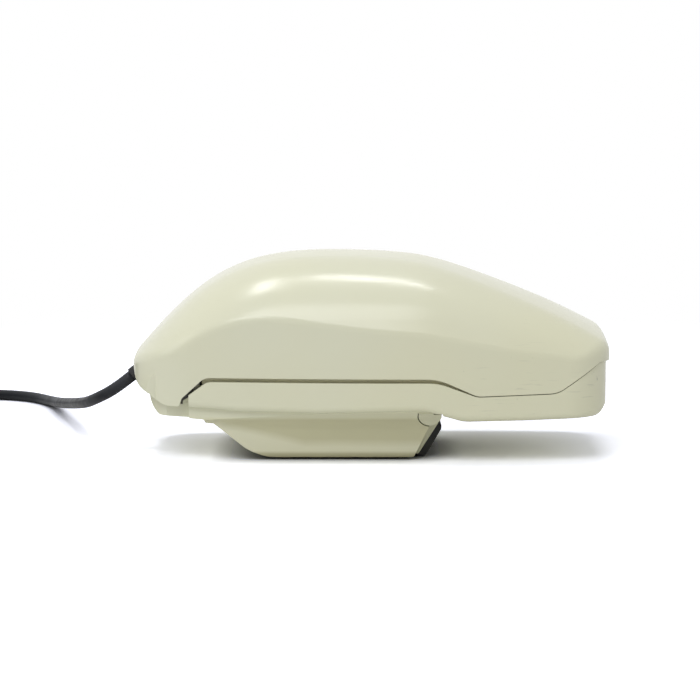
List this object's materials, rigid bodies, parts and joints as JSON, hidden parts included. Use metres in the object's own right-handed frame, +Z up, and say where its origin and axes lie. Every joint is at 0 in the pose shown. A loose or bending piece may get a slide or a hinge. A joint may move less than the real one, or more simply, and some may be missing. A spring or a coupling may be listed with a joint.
{
  "type": "folding telephone",
  "caption": "Folding telephone: a domed body with the dial and earpiece closes over a flap with the mouthpiece; cord and plug.",
  "frame": {"origin": "on the table under the middle of the closed telephone's outline, without its cord", "axes": "+X from the hinge end to the earpiece end, +Z up, +Y across"},
  "size_m": [0.29, 0.1732, 0.0694],
  "materials": {
    "ivory_shell": "glossy cream plastic, softly worn",
    "ivory_face": "cream plastic, a little more matt inside",
    "number_ring": "cream plastic with dark digits",
    "dial_plastic": "glossy cream plastic",
    "dial_cap": "glossy plastic cap",
    "steel": "plated steel",
    "screw_steel": "plated steel screws",
    "brass": "bare brass",
    "capsule_metal": "pressed aluminium",
    "dark_plastic": "dark moulded resin",
    "board": "brown resin-bonded board",
    "coil_tape": "varnished winding tape",
    "black_rubber": "black rubber",
    "cord_sheath": "charcoal cord sheath, slightly glossy",
    "plug_plastic": "cream moulded plug"
  },
  "bodies": {
    "flap": {"flap_shell": "ivory_shell", "mouthpiece_plate": "ivory_face", "microphone_gasket": "black_rubber", "microphone_capsule": "capsule_metal", "plate_screws": "screw_steel", "hinge_bushes": "brass", "hinge_spring": "steel", "switch_contacts": "brass", "rocker_pin": "steel", "rubber_feet": "black_rubber", "cord_coil": "cord_sheath", "cord_tail": "cord_sheath", "wall_plug": "plug_plastic", "plug_pins": "brass"},
    "body": {"back_shell": "ivory_shell", "face_plate": "ivory_face", "number_ring": "number_ring", "finger_stop": "steel", "dial_frame": "steel", "dial_bridge": "steel", "spring_drum": "steel", "pulse_contacts": "brass", "governor_cup": "brass", "earpiece_gasket": "black_rubber", "earpiece_capsule": "capsule_metal", "earpiece_clamp": "steel", "circuit_board": "board", "board_pillars": "steel", "induction_coil": "coil_tape", "capacitors": "dark_plastic", "terminal_block": "dark_plastic", "face_screws": "screw_steel", "hinge_pin": "steel", "cord_gland": "black_rubber", "cord": "cord_sheath"},
    "dial": {"finger_wheel": "dial_plastic", "dial_cap": "dial_cap", "dial_shaft": "steel", "main_gear": "brass", "pulse_cam": "dark_plastic"},
    "governor": {"governor_shaft": "steel", "governor_weights": "brass"},
    "hook": {"hook_rocker": "ivory_shell", "hook_pad": "black_rubber"}
  },
  "joints": [
    {"name": "flap_hinge", "type": "hinge", "parent": "flap", "child": "body", "pos_m": [-0.0659, 0, 0.0229], "axis": [0, -1, 0], "range_deg": [0, 105], "stiffness_Nm_per_rad": 0.05, "springref_deg": 126.05},
    {"name": "dial_turn", "type": "hinge", "parent": "body", "child": "dial", "pos_m": [-0.017, 0, 0.0279], "axis": [0, 0, 1], "range_deg": [0, 315], "stiffness_Nm_per_rad": 0.006, "springref_deg": -45.84},
    {"name": "governor_spin", "type": "hinge", "parent": "body", "child": "governor", "pos_m": [-0.017, 0.022, 0.038], "axis": [0, 0, 1], "range_deg": [-2205, 0]},
    {"name": "hook_press", "type": "hinge", "parent": "flap", "child": "hook", "pos_m": [0.0201, 0, 0.0162], "axis": [0, -1, 0], "range_deg": [0, 8], "stiffness_Nm_per_rad": 0.003, "springref_deg": 17.19}
  ],
  "couplings": [
    {"joint": "governor_spin", "follows": "dial_turn", "ratio": -7}
  ]
}
